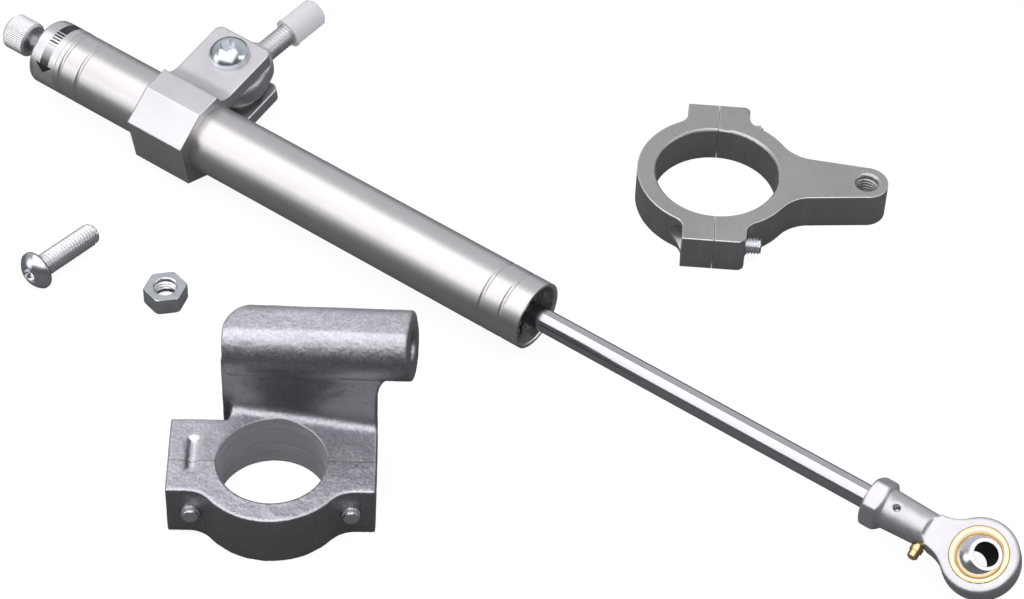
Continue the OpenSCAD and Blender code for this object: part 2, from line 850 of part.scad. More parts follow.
module arm_bracket_arm() {
    color([0.62, 0.62, 0.63]) at_arm_bracket() intersection() {
        arm_bracket_solid();
        translate([saw_cut / 2, -2 * lug_reach, -1]) cube([200, 4 * lug_reach, arm_t + 2]);
    }
}

module arm_bracket_cap() {
    color([0.62, 0.62, 0.63]) at_arm_bracket() intersection() {
        arm_bracket_solid();
        translate([-200 - saw_cut / 2, -2 * lug_reach, -1]) cube([200, 4 * lug_reach, arm_t + 2]);
    }
}

// Socket head screw along +X with its head's seat at x = 0
module cap_screw(l) {
    difference() {
        rod_shape(-head_h, head_h, head_r);
        lay(-head_h - 1) cylinder(h = head_h / 2 + 1, r = head_r / 2, $fn = 6);
    }
    rod_shape(-eps, l - 1, clamp_screw_r);
    cone_shape(l - 1 - 2 * eps, 1, clamp_screw_r, clamp_screw_r - 0.7);
}

module arm_bracket_screws() {
    color([0.75, 0.77, 0.8]) at_arm_bracket() for (s = [-1, 1])
        translate([-head_seat, s * arm_screw_y, arm_t / 2]) cap_screw(head_seat + lug_half_w + (s < 0 ? 5.5 : -0.5));
}

// Cast bracket, in its own frame: bore axis along Z, screws along Y

module at_cast_bracket() {
    translate([cast_at[0], cast_at[1], table_z]) rotate([0, 0, cast_turn]) children();
}

module cast_screw_holes() {
    for (s = [-1, 1]) translate([s * cast_pitch / 2, 0, cast_t / 2]) rotate([90, 0, 0]) {
        cylinder(h = 100, r = clamp_screw_r + run_gap, center = true);
        translate([0, 0, -50 - cast_back + 9]) cylinder(h = 50, r = head_r + 0.3);
    }
}

module cast_cuts() {
    translate([0, 0, -1]) cylinder(h = cast_t + 2, r = cast_bore_r);
    cast_screw_holes();
    translate([-cast_pitch / 2, 2.8, cast_t + 1.2]) {
        rotate([90, 0, 0]) cylinder(h = 11.4, r = 2.4, center = true);
        for (s = [-1, 1]) translate([0, s * 5.7, 0]) sphere(r = 2.4);
    }
}

module at_web() {
    translate([web_foot[0], web_foot[1], 0]) rotate([0, 0, -web_turn]) children();
}

module at_boss() {
    at_web() translate([boss_l, boss_w, boss_h])
        rotate([0, 0, boss_turn]) rotate([0, 90 - boss_slope, 0]) children();
}

// Height of the web's top at a distance along the block, inside the boss
function web_top(x) = boss_h - web_rise - (boss_l - x + web_foot[0]) * tan(boss_slope);

// Outline of the web from the front: level with the block's side, wider under the boss
module web_side() {
    edge = cast_l / 2;
    top = web_top(edge + flare_w) + web_rise - sqrt(boss_r * boss_r - boss_w * boss_w);
    polygon(concat(
        [[-cast_l, 0], [edge, 0]],
        [for (a = [0 : 11.25 : 90])
            [edge + flare_w * (1 - cos(a)), top - flare_h * (1 - sin(a))]],
        [[edge + flare_w, web_top(edge + flare_w)], [-cast_l, web_top(-cast_l)]]));
}

module cast_web() {
    intersection() {
        at_web() cube([2 * cast_l, web_t, 2 * boss_h]);
        translate([0, 4 * cast_l, 0]) rotate([90, 0, 0]) linear_extrude(height = 8 * cast_l) web_side();
    }
}

// Fillet between the top of the block and the front of the web
module web_fillet() {
    intersection() {
        at_web() translate([0, 0, cast_t]) along_x(3.5, cast_l) difference() {
            translate([-foot_fillet, -1]) square([foot_fillet + 1, foot_fillet + 1]);
            translate([-foot_fillet, foot_fillet]) circle(r = foot_fillet, $fn = 24);
        }
        translate([-cast_l / 2, -cast_l, 0]) cube([cast_l, 3 * cast_l, 2 * cast_t]);
    }
}

// Boss with a flat on top and a rounded top back corner at its closed end; its mouth is at z = 0
module boss_shape() {
    shape_l = boss_l - boss_inset;
    round_x = shape_l - boss_round + 0.3;
    round_y = boss_r - boss_round + 0.3;
    intersection() {
        translate([0, 0, -shape_l]) linear_extrude(height = shape_l) difference() {
            circle(r = boss_r);
            rotate(180 + boss_top_tilt) translate([boss_top, -boss_r]) square([boss_r, 2 * boss_r]);
        }
        rotate([0, 0, boss_round_turn]) rotate([0, 90, 0])
            linear_extrude(height = 3 * boss_r, center = true) {
                translate([-1, -boss_r - 1]) square([round_x + 1, 2 * boss_r + 2]);
                translate([-1, -boss_r - 1]) square([shape_l + 2, boss_r + 1 + round_y]);
                translate([round_x, round_y]) circle(r = boss_round);
            }
    }
}

module cast_bracket_body() {
    color([0.63, 0.62, 0.66]) at_cast_bracket() difference() {
        union() {
            linear_extrude(height = cast_t) {
                translate([-cast_l / 2, saw_cut / 2]) square([cast_l, cast_back]);
                intersection() {
                    translate(web_foot) rotate(-web_turn)
                        translate([3, -8]) square([cast_l, 8 + web_t]);
                    translate([-cast_l / 2, -cast_l]) square([cast_l, 3 * cast_l]);
                }
            }
            cast_web();
            web_fillet();
            at_boss() boss_shape();
        }
        cast_cuts();
        at_boss() {
            translate([0, 0, -boss_hole_l]) cylinder(h = boss_hole_l + 1, r = tap_d / 2);
            translate([0, 0, -1.4]) cylinder(h = 1.4 + eps, r1 = tap_d / 2, r2 = tap_d / 2 + 1.4);
        }
    }
}

module cast_bracket_cap() {
    color([0.63, 0.62, 0.66]) at_cast_bracket() difference() {
        linear_extrude(height = cast_t) {
            translate([-cast_l / 2, -cast_front]) square([cast_l, cast_front]);
            circle(r = cast_out_r);
            for (s = [0, 1]) mirror([s, 0]) both_webs(cast_out_r, cast_front, 9, $fn = 24);
        }
        translate([-cast_l, -saw_cut / 2, -1]) cube([2 * cast_l, 2 * cast_out_r, cast_t + 2]);
        cast_cuts();
    }
}

module cast_bracket_screws() {
    seat = cast_back - 9;
    color([0.75, 0.76, 0.8]) at_cast_bracket() for (s = [-1, 1])
        translate([s * cast_pitch / 2, seat, cast_t / 2]) rotate([0, 0, -90])
            cap_screw(seat + cast_front + 2.6);
}

// Loose fasteners on the table

module loose_screw() {
    color([0.78, 0.82, 0.88])
        translate([screw_at[0], screw_at[1], table_z])
            rotate([0, 0, screw_turn]) rotate([0, 90 + screw_lean, 0])
                translate([-button_d / 2, 0, 0]) rotate([180, 0, 0]) button_screw(loose_screw_l);
}

module loose_nut() {
    color([0.55, 0.6, 0.68]) translate([nut_at[0], nut_at[1], table_z]) rotate([0, 0, nut_turn])
        difference() {
            intersection() {
                cylinder(h = nut_h, r = nut_af / sqrt(3), $fn = 6);
                union() {
                    cylinder(h = 0.4, r1 = nut_af / 2 + 0.45, r2 = nut_af / 2 + 1.1);
                    translate([0, 0, 0.4 - eps])
                        cylinder(h = nut_h - 0.8 + 2 * eps, r = nut_af / 2 + 1.1);
                    translate([0, 0, nut_h - 0.4])
                        cylinder(h = 0.4, r1 = nut_af / 2 + 1.1, r2 = nut_af / 2 + 0.45);
                }
            }
            translate([0, 0, -1]) cylinder(h = nut_h + 2, r = tap_d / 2);
            translate([0, 0, nut_h - 0.9]) cylinder(h = 1, r1 = tap_d / 2, r2 = tap_d / 2 + 1);
        }
}

outer_tube();
end_plug();
plug_o_ring();
plug_gland();
stem_o_ring();
inner_cylinder();
rod_guide();
guide_o_ring();
rod_bush();
rod_seal();
rod_wiper();
retaining_ring();
bump_stop();
label_band();
adjuster_knob();
adjuster_stem();
knob_set_screw();
metering_needle();
piston();
piston_ring();
shim_disc();
piston_rod();
piston_nut();
rod_end_body();
grease_nipple();
rod_end_race();
rod_end_ball();
clamp_block();
clamp_bolt();
bolt_washer();
ball_spacers();
joint_ball();
joint_race();
stud_body();
stud_cap();
arm_bracket_arm();
arm_bracket_cap();
arm_bracket_screws();
cast_bracket_body();
cast_bracket_cap();
cast_bracket_screws();
loose_screw();
loose_nut();
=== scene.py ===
"""Looks of a motorcycle steering damper kit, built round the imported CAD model."""
import json
import math

import bmesh
import bpy
import numpy as np
from mathutils import Matrix, Vector, noise


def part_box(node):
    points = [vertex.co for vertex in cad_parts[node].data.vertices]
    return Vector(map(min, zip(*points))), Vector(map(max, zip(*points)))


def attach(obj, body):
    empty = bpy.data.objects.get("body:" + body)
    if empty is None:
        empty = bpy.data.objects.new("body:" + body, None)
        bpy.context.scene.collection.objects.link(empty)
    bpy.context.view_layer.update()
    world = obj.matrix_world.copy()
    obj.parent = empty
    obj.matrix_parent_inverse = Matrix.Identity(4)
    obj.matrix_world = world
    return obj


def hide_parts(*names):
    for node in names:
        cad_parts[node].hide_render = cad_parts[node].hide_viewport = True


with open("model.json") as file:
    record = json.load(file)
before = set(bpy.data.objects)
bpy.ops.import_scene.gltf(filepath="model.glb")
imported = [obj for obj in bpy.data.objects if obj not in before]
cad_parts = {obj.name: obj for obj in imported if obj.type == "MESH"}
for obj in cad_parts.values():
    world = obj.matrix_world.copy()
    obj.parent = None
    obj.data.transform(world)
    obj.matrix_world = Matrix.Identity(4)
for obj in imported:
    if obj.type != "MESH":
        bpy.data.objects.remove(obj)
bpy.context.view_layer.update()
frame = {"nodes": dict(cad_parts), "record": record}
nodes = frame["nodes"]
TABLE_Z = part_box("cast_bracket_body")[0].z
TAU = 2 * math.pi


def turn(degrees, axis):
    return Matrix.Rotation(math.radians(degrees), 4, axis)


def shift(x, y, z):
    """Translation in millimetres."""
    return Matrix.Translation((x / 1000, y / 1000, z / 1000))


# Places of the parts

CAST_TURN = 36.7
LEAN = math.degrees(math.asin(2.8 / 27))
ON_TABLE = Matrix.Translation((0, 0, TABLE_Z))
ARM = ON_TABLE @ shift(-162.8, 97.2, 0) @ turn(32, "Z")
CAST = ON_TABLE @ shift(-197.2, -105.5, 0) @ turn(CAST_TURN, "Z")
BOSS = (CAST @ shift(-16.9, 22.9, 0) @ turn(-9.4, "Z") @ shift(60.7, 7.44, 52.1)
        @ turn(1.7, "Z") @ turn(83.6, "Y"))
SCREW = (ON_TABLE @ shift(-321.7, -79.4, 0) @ turn(88.1, "Z") @ turn(90 + LEAN, "Y")
         @ shift(-6.8, 0, 0) @ turn(180, "X"))
NUT = ON_TABLE @ shift(-282.7, -58, 0)
EYE = turn(25, "X")
JOINT = turn(10, "X") @ shift(-322.3, 27, -1.5)
STUD = JOINT @ turn(82, "Z") @ turn(90, "Y")
SEAT = 9.35
CAST_BORE = 17.5
CAST_TOP = 0.0203
CAST_PITCH = 25.2
CAST_SCREW_Z = 10
ARM_HOLE = ARM @ shift(52.3, 0, 0)
ARM_SCREWS = [ARM @ shift(0, y, 6.75) @ turn(90, "Y") for y in (-28.45, 28.45)]
CAST_SCREWS = [CAST @ shift(x, 0, CAST_SCREW_Z) @ turn(90, "X") for x in (-CAST_PITCH, CAST_PITCH)]
BALL = EYE @ turn(22, "Z") @ turn(23, "Y")

# Threads, in mm: the pitch and the radii at the root and the crest
M8_PITCH = 1.25
M8_SCREW = (3.4, 3.98, M8_PITCH)
M8_HOLE = (3.95, 3.4, M8_PITCH)
M6_SCREW = (2.45, 2.98, 1.0)
TAPPED = 3.4

# Camera

CAMERA_AT = (0.23640, -0.60679, 0.76194)
CAMERA_RIGHT = (0.80646, 0.59056, 0.02913)
CAMERA_UP = (-0.44101, 0.56796, 0.69493)
CAMERA_BACK = (0.39386, -0.57328, 0.71849)
SENSOR = 36.0
LENS = 111.85


def make_camera():
    data = bpy.data.cameras.new("camera")
    data.sensor_width = SENSOR
    data.lens = LENS
    data.clip_start = 0.01
    data.clip_end = 50
    camera = bpy.data.objects.new("camera", data)
    bpy.context.scene.collection.objects.link(camera)
    facing = Matrix((CAMERA_RIGHT, CAMERA_UP, CAMERA_BACK)).transposed()
    camera.matrix_world = Matrix.Translation(CAMERA_AT) @ facing.to_4x4()
    bpy.context.scene.camera = camera


# Node helpers


class Nodes:
    """Short names for the node types that the materials use."""

    def __init__(self, tree):
        self.tree = tree

    def add(self, kind, **values):
        node = self.tree.nodes.new("ShaderNode" + kind)
        for name, value in values.items():
            setattr(node, name, value)
        return node

    def link(self, source, target):
        self.tree.links.new(source, target)
        return target

    def math(self, operation, a, b=0.0):
        node = self.add("Math", operation=operation)
        for socket, value in zip(node.inputs, (a, b)):
            if isinstance(value, (int, float)):
                socket.default_value = value
            else:
                self.link(value, socket)
        return node.outputs[0]

    def place(self):
        """Object coordinates, which are metres in the model's frame."""
        return self.add("TexCoord").outputs["Object"]

    def within(self, place):
        """Coordinates in the frame of a place, as three sockets in metres."""
        node = self.add("Mapping", vector_type="TEXTURE")
        node.inputs["Location"].default_value = place.translation
        node.inputs["Rotation"].default_value = place.to_euler()
        self.link(self.place(), node.inputs["Vector"])
        split = self.add("SeparateXYZ")
        self.link(node.outputs[0], split.inputs[0])
        return split.outputs

    def length(self, a, b):
        squares = self.math("ADD", self.math("MULTIPLY", a, a), self.math("MULTIPLY", b, b))
        return self.math("SQRT", squares)

    def scaled(self, vector, scale):
        node = self.add("Mapping")
        node.inputs["Scale"].default_value = scale
        self.link(vector, node.inputs["Vector"])
        return node.outputs[0]

    def noise(self, vector, scale, detail=2.0, rough=0.5):
        node = self.add("TexNoise")
        node.inputs["Scale"].default_value = scale
        node.inputs["Detail"].default_value = detail
        node.inputs["Roughness"].default_value = rough
        self.link(vector, node.inputs["Vector"])
        return node.outputs["Fac"]

    def ramp(self, value, low, high, out_low, out_high):
        node = self.add("MapRange")
        for name, number in zip(("From Min", "From Max", "To Min", "To Max"),
                                (low, high, out_low, out_high)):
            node.inputs[name].default_value = number
        self.link(value, node.inputs["Value"])
        return node.outputs[0]

    def mix(self, factor, a, b):
        node = self.add("Mix", data_type="RGBA")
        for socket, value in ((node.inputs[0], factor), (node.inputs[6], a), (node.inputs[7], b)):
            if isinstance(value, (int, float)):
                socket.default_value = value
            elif isinstance(value, tuple):
                socket.default_value = (*value, 1) if len(value) == 3 else value
            else:
                self.link(value, socket)
        return node.outputs[2]

    def bump(self, height, distance, strength=1.0, below=None):
        node = self.add("Bump")
        node.inputs["Strength"].default_value = strength
        node.inputs["Distance"].default_value = distance
        self.link(height, node.inputs["Height"])
        if below is not None:
            self.link(below, node.inputs["Normal"])
        return node.outputs[0]

    def rounded(self, radius):
        """Normals that round off each sharp edge."""
        node = self.add("Bevel", samples=8)
        node.inputs["Radius"].default_value = radius
        return node.outputs[0]


def new_material(name):
    material = bpy.data.materials.new(name)
    material.use_nodes = True
    tree = material.node_tree
    tree.nodes.clear()
    n = Nodes(tree)
    surface = n.add("BsdfPrincipled")
    out = n.add("OutputMaterial")
    n.link(surface.outputs[0], out.inputs[0])
    return material, n, surface


# Materials

FINE = 2600


def metal(name, dark, light, rough, grain=0.000012, blotch=60, stretch=None, spread=0.06,
          grain_scale=FINE, edge=0.0002, painted_edge_highlight=0.0):
    """Metal with a fine grain and slow changes of tone.

    stretch draws the grain into lines, edge is the shaded rounding, and the last argument sets how
    strongly a painted highlight pales the edges.
    """
    material, n, surface = new_material(name)
    where = n.place()
    lines = n.scaled(where, stretch) if stretch else where
    fine = n.noise(lines, grain_scale if not stretch else 1.0, 3.0, 0.6)
    slow = n.noise(where, blotch, 2.0)
    tone = n.math("ADD", n.math("MULTIPLY", fine, 0.5), n.math("MULTIPLY", slow, 0.5))
    colour = n.mix(n.ramp(tone, 0.35, 0.65, 0, 1), dark, light)
    normal = n.rounded(edge)
    if painted_edge_highlight:
        # Painted highlight: where the rounded normal bends away from the true normal, the colour is mixed
        # towards white.
        bent = n.add("VectorMath", operation="DOT_PRODUCT")
        n.link(normal, bent.inputs[0])
        n.link(n.add("NewGeometry").outputs["Normal"], bent.inputs[1])
        edge_highlight_mask = n.ramp(bent.outputs["Value"], 0.80, 0.985, painted_edge_highlight, 0.0)
        colour = n.mix(edge_highlight_mask, colour, (1.0, 1.0, 1.0))
    n.link(colour, surface.inputs["Base Color"])
    n.link(n.ramp(fine, 0.3, 0.7, rough - spread, rough + spread), surface.inputs["Roughness"])
    surface.inputs["Metallic"].default_value = 1.0
    n.link(n.bump(fine, grain, 1.0, normal), surface.inputs["Normal"])
    return material


def plain(name, dark, light, rough):
    """Rubber, plastic and the like, with a fine uneven skin."""
    material, n, surface = new_material(name)
    fine = n.noise(n.place(), 800, 4.0, 0.6)
    n.link(n.mix(n.ramp(fine, 0.3, 0.7, 0, 1), dark, light), surface.inputs["Base Color"])
    n.link(n.ramp(fine, 0.3, 0.7, rough - 0.06, rough + 0.06), surface.inputs["Roughness"])
    n.link(n.bump(fine, 0.00002), surface.inputs["Normal"])
    return material


SLOT_MIDDLE = 0.0028
SLOT_HALF = 0.0057
SLOT_FLOOR = 0.0165


def cast_metal(name):
    """Sand cast aluminium with grains and pits, turned where it is bored and cut through by a saw, with
    painted shade on the faces that do not look up.
    """
    material, n, surface = new_material(name)
    where = n.place()
    coarse = n.noise(where, 300, 4.0, 0.6)
    grains = n.noise(where, 1100, 4.0, 0.7)
    slow = n.noise(where, 70, 2.0)
    x, y, z = n.within(CAST)
    radius = n.length(x, y)
    below_top = n.math("LESS_THAN", z, CAST_TOP)
    bored = n.math("MULTIPLY", n.ramp(radius, 0.01756, 0.01764, 1, 0), below_top)
    cut = n.math("MULTIPLY", n.math("LESS_THAN", n.math("ABSOLUTE", y), 0.00013),
                 n.math("GREATER_THAN", radius, 0.0176))
    tone = n.mix(n.ramp(grains, 0.32, 0.68, 0, 1), (0.42, 0.41, 0.45), (0.72, 0.71, 0.76))
    tone = n.mix(n.ramp(slow, 0.35, 0.65, 0.0, 0.35), tone, (0.36, 0.345, 0.385))
    # Painted shade: faces that turn away from up are mixed towards dark grey.
    facing = n.add("SeparateXYZ")
    n.link(n.add("NewGeometry").outputs["Normal"], facing.inputs[0])
    tone = n.mix(n.ramp(facing.outputs[2], 0.25, 0.8, 0.62, 0.0), tone, (0.21, 0.20, 0.205))
    drawn = n.noise(n.scaled(where, (60, 60, 5200)), 1.0, 3.0, 0.6)
    turned = n.mix(n.ramp(drawn, 0.36, 0.64, 0, 1), (0.70, 0.70, 0.75), (0.98, 0.98, 1.0))
    tone = n.mix(bored, tone, turned)
    beside = n.math("ABSOLUTE", n.math("ADD", x, CAST_PITCH / 1000))
    along = n.math("ABSOLUTE", n.math("SUBTRACT", y, SLOT_MIDDLE))
    past_end = n.math("MAXIMUM", n.math("SUBTRACT", along, SLOT_HALF), 0.0)
    in_depth = n.math("MULTIPLY", n.math("GREATER_THAN", z, SLOT_FLOOR), below_top)
    slot = n.math("MULTIPLY", n.ramp(n.length(beside, past_end), 0.0019, 0.0022, 1, 0), in_depth)
    tone = n.mix(slot, tone, (0.86, 0.86, 0.89))
    n.link(n.mix(n.math("MULTIPLY", cut, 0.75), tone, (0.05, 0.05, 0.05)), surface.inputs["Base Color"])
    surface.inputs["Metallic"].default_value = 1.0
    rough = n.ramp(grains, 0.3, 0.7, 0.34, 0.46)
    plain_bore = n.ramp(drawn, 0.3, 0.7, 0.42, 0.56)
    picked = n.add("Mix")
    n.link(bored, picked.inputs[0])
    n.link(n.math("SUBTRACT", rough, n.math("MULTIPLY", slot, 0.16)), picked.inputs[2])
    n.link(plain_bore, picked.inputs[3])
    n.link(picked.outputs[0], surface.inputs["Roughness"])
    skin = n.math("SUBTRACT", 1.0, bored)
    both = n.math("ADD", n.math("MULTIPLY", coarse, 0.6), n.math("MULTIPLY", grains, 0.4))
    pitted = n.math("MULTIPLY", skin, both)
    lines = n.math("MULTIPLY", drawn, n.ramp(bored, 0, 1, 0.03, 0.35))
    n.link(n.bump(n.math("ADD", pitted, lines), 0.0003), surface.inputs["Normal"])
    return material


LABEL_HALF = 0.00185
ARROW_HALF = 0.0038
BARS = ((93.4, 3.8, 1.0), (99.8, 3.2, 1.0), (106.2, 2.4, 1.0), (112.2, 2.8, 1.0), (118.6, 2.0, 0.3))


def label_print(name):
    """Silver film with black generic print: a block, bars and an arrow, set by angle round the tube."""
    material, n, surface = new_material(name)
    split = n.add("SeparateXYZ")
    n.link(n.place(), split.inputs[0])
    x, y, z = split.outputs
    angle = n.math("DEGREES", n.math("ARCTAN2", z, y))
    low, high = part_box("label_band")
    across = n.math("ABSOLUTE", n.math("SUBTRACT", x, (low.x + high.x) / 2))

    def between(start, end):
        return n.math("MULTIPLY", n.math("GREATER_THAN", angle, start), n.math("LESS_THAN", angle, end))

    print_area = between(46.0, 91.0)
    for start, width, strength in BARS:
        bar = n.math("MULTIPLY", between(start, start + width), strength)
        print_area = n.math("MAXIMUM", print_area, bar)
    shaft = n.math("MULTIPLY", between(124.0, 157.5), n.ramp(angle, 124.0, 150.0, 0.05, 0.95))
    inside = n.math("LESS_THAN", across, LABEL_HALF)
    print_area = n.math("MULTIPLY", n.math("MAXIMUM", print_area, shaft), inside)
    slope = n.math("MULTIPLY", n.math("SUBTRACT", 172.0, angle), ARROW_HALF / 15)
    head = n.math("MULTIPLY", between(157.0, 172.0), n.math("LESS_THAN", across, slope))
    ink = n.math("MAXIMUM", print_area, head)
    slow = n.noise(n.place(), 900, 3.0)
    film = n.mix(slow, (0.64, 0.63, 0.65), (0.72, 0.71, 0.73))
    n.link(n.mix(ink, film, (0.012, 0.012, 0.014)), surface.inputs["Base Color"])
    n.link(n.math("MULTIPLY", n.math("SUBTRACT", 1.0, ink), 0.92), surface.inputs["Metallic"])
    n.link(n.ramp(slow, 0.3, 0.7, 0.30, 0.40), surface.inputs["Roughness"])
    return material


def milky_plastic(name):
    """Translucent protective cap, in which the stud's thread shows faintly."""
    material, n, surface = new_material(name)
    fine = n.noise(n.place(), 700, 3.0)
    rings = n.math("SINE", n.math("MULTIPLY", n.within(STUD)[2], TAU * 1000 / M8_PITCH))
    tone = n.mix(n.ramp(rings, -1, 1, 0, 1), (0.72, 0.76, 0.80), (0.94, 0.95, 0.97))
    n.link(n.mix(fine, tone, (0.90, 0.92, 0.94)), surface.inputs["Base Color"])
    n.link(n.ramp(fine, 0.3, 0.7, 0.30, 0.42), surface.inputs["Roughness"])
    surface.inputs["Transmission Weight"].default_value = 0.3
    surface.inputs["IOR"].default_value = 1.4
    n.link(n.bump(fine, 0.00002), surface.inputs["Normal"])
    return material


def ball_metal(name):
    """Polished ball with painted shade in its hole."""
    material, n, surface = new_material(name)
    where = n.place()
    x, y, _ = n.within(BALL)
    radius = n.length(x, y)
    bore_shade = n.ramp(radius, 0.00403, 0.00410, 1, 0)
    fine = n.noise(where, FINE, 3.0, 0.6)
    tone = n.mix(fine, (0.74, 0.73, 0.76), (0.82, 0.81, 0.84))
    # Painted shade: the hole through the ball is coloured near black.
    n.link(n.mix(bore_shade, tone, (0.06, 0.055, 0.06)), surface.inputs["Base Color"])
    surface.inputs["Metallic"].default_value = 1.0
    n.link(n.ramp(n.math("ADD", bore_shade, n.math("MULTIPLY", fine, 0.1)), 0, 1, 0.2, 0.45),
           surface.inputs["Roughness"])
    n.link(n.bump(fine, 0.000002, 1.0, n.rounded(0.0002)), surface.inputs["Normal"])
    return material


def race_metal(name):
    """Brass race whose sloping face shows paler between two gold edges."""
    material, n, surface = new_material(name)
    x, y, _ = n.within(EYE)
    radius = n.length(x, y)
    pale = n.math("MULTIPLY", n.ramp(radius, 0.0087, 0.0084, 0, 1), n.ramp(radius, 0.0078, 0.0080, 0, 1))
    fine = n.noise(n.place(), FINE, 3.0, 0.6)
    gold = n.mix(fine, (0.70, 0.52, 0.25), (0.82, 0.64, 0.34))
    n.link(n.mix(pale, gold, (0.90, 0.86, 0.74)), surface.inputs["Base Color"])
    surface.inputs["Metallic"].default_value = 1.0
    n.link(n.ramp(fine, 0.3, 0.7, 0.2, 0.28), surface.inputs["Roughness"])
    n.link(n.bump(fine, 0.000003, 1.0, n.rounded(0.0002)), surface.inputs["Normal"])
    return material


ROUND = (5200, 60, 60)
FLAT_MILL = (900, 900, 40)

# Painted highlight: the threads of zinc parts get a much paler copy of the zinc.
THREAD_PAINTED_HIGHLIGHT = metal("thread_painted_highlight", (0.86, 0.875, 0.89), (0.94, 0.95, 0.96), 0.34, grain=0.000001,
                     blotch=260, spread=0.03, edge=0.00006)

RACE_METAL = race_metal("race_brass")

SLOT_MATERIALS = {
    "tube_anodised": metal("satin_anodised", (0.64, 0.62, 0.625), (0.70, 0.68, 0.69), 0.36,
                           grain=0.000006, stretch=ROUND, spread=0.04),
    # The blasted and machined metals get a painted highlight on their edges.
    "clamp_blasted": metal("blasted_anodised", (0.62, 0.61, 0.63), (0.72, 0.71, 0.73), 0.36,
                           grain=0.00003, spread=0.06, edge=0.0009, painted_edge_highlight=0.8),
    "machined_grey": metal("machined_anodised", (0.45, 0.445, 0.45), (0.53, 0.525, 0.53), 0.36,
                           grain=0.00001, stretch=FLAT_MILL, spread=0.06, edge=0.0009, painted_edge_highlight=0.8),
    "cast_grey": cast_metal("sand_cast"),
    "inner_aluminium": metal("turned_aluminium", (0.55, 0.55, 0.57), (0.63, 0.63, 0.65), 0.3,
                             stretch=ROUND),
    "knob_bright": metal("bright_turned", (0.80, 0.79, 0.81), (0.88, 0.87, 0.89), 0.40,
                         stretch=ROUND, edge=0.0003),
    "rod_chrome": metal("hard_chrome", (0.56, 0.55, 0.58), (0.62, 0.61, 0.64), 0.16,
                        grain=0.000003, stretch=ROUND, spread=0.03),
    "ball_polished": ball_metal("polished_steel"),
    "zinc_bright": metal("bright_zinc", (0.60, 0.635, 0.67), (0.73, 0.76, 0.79), 0.22,
                         grain=0.00001, blotch=260, spread=0.05, edge=0.00015),
    "zinc_forged": metal("zinc_forging", (0.585, 0.57, 0.60), (0.675, 0.66, 0.695), 0.45,
                         grain=0.000014, blotch=150, grain_scale=1800, edge=0.0003),
    "steel_dark": metal("dark_steel", (0.20, 0.21, 0.22), (0.28, 0.29, 0.30), 0.32, stretch=ROUND),
    "brass": metal("turned_brass", (0.76, 0.56, 0.27), (0.84, 0.66, 0.36), 0.22,
                   grain=0.000003, spread=0.03),
    "rubber": plain("black_rubber", (0.014, 0.014, 0.014), (0.03, 0.03, 0.03), 0.6),
    "band_plastic": plain("bearing_band", (0.10, 0.085, 0.07), (0.15, 0.13, 0.11), 0.5),
    "cap_plastic": milky_plastic("milky_plastic"),
    "label_film": label_print("printed_film"),
}


def dress_cad():
    for part in frame["record"]["subparts"]:
        node = nodes[part["node"]]
        node.data.materials.clear()
        material = RACE_METAL if part["node"] == "rod_end_race" else SLOT_MATERIALS[part["material_slot"]]
        node.data.materials.append(material)


# Pieces

body_of = {name: body for body, names in frame["record"]["behaviour"]["bodies"].items() for name in names}
slot_of = {part["node"]: part["material_slot"] for part in frame["record"]["subparts"]}


def cad_copy(node):
    """The welded mesh of a CAD node, to be changed into a piece."""
    bm = bmesh.new()
    bm.from_mesh(nodes[node].data)
    bmesh.ops.remove_doubles(bm, verts=bm.verts, dist=1e-6)
    return bm


def add_piece(name, bm, node, sharp=28, material=None):
    """A piece that rides on the body of a CAD node and shares its slot."""
    mesh = bpy.data.meshes.new(name)
    bm.to_mesh(mesh)
    bm.free()
    mesh.shade_smooth()
    mesh.set_sharp_from_angle(angle=math.radians(sharp))
    mesh.materials.append(material or SLOT_MATERIALS[slot_of[node]])
    piece = bpy.data.objects.new(name, mesh)
    bpy.context.scene.collection.objects.link(piece)
    piece.modifiers.new("normals", "WEIGHTED_NORMAL").keep_sharp = True
    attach(piece, body_of[node])
    return piece


def resize_bore(bm, place, old, new, low, high):
    """Moves the points of a cylinder of radius old, in mm, about the Z axis of a place to radius new."""
    back = place.inverted()
    for vertex in bm.verts:
        point = back @ vertex.co
        radius = math.hypot(point.x, point.y) * 1000
        if low <= point.z * 1000 <= high and abs(radius - old) < 0.03:
            point.x *= new / radius
            point.y *= new / radius
            vertex.co = place @ point


STEPS = 36
FORGED_VOXEL = 0.0003
CAST_VOXEL = 0.00042


def add_thread(bm, place, low, high, root, crest, pitch):
    """A closed helical ridge about the Z axis of a place; crest is inside root in a hole. All in mm."""
    count = int((high - low - pitch) / pitch * STEPS)
    base = root - 0.1 if crest > root else root + 0.1
    rings = []
    for i in range(count + 1):
        angle = i / STEPS * TAU
        fade = min(1.0, i / (STEPS / 2), (count - i) / (STEPS / 2))
        top = root + (crest - root) * fade
        ring = []
        for offset, radius in ((-0.46, base), (-0.06, top), (0.06, top), (0.46, base)):
            z = low + pitch * (0.5 + i / STEPS + offset)
            ring.append(bm.verts.new(place @ Vector((radius * math.cos(angle) / 1000,
                                                     radius * math.sin(angle) / 1000, z / 1000))))
        rings.append(ring)
    for one, two in zip(rings, rings[1:]):
        for k in range(4):
            m = (k + 1) % 4
            bm.faces.new((one[k], one[m], two[m], two[k]))
    bm.faces.new(rings[0])
    bm.faces.new(rings[-1][::-1])


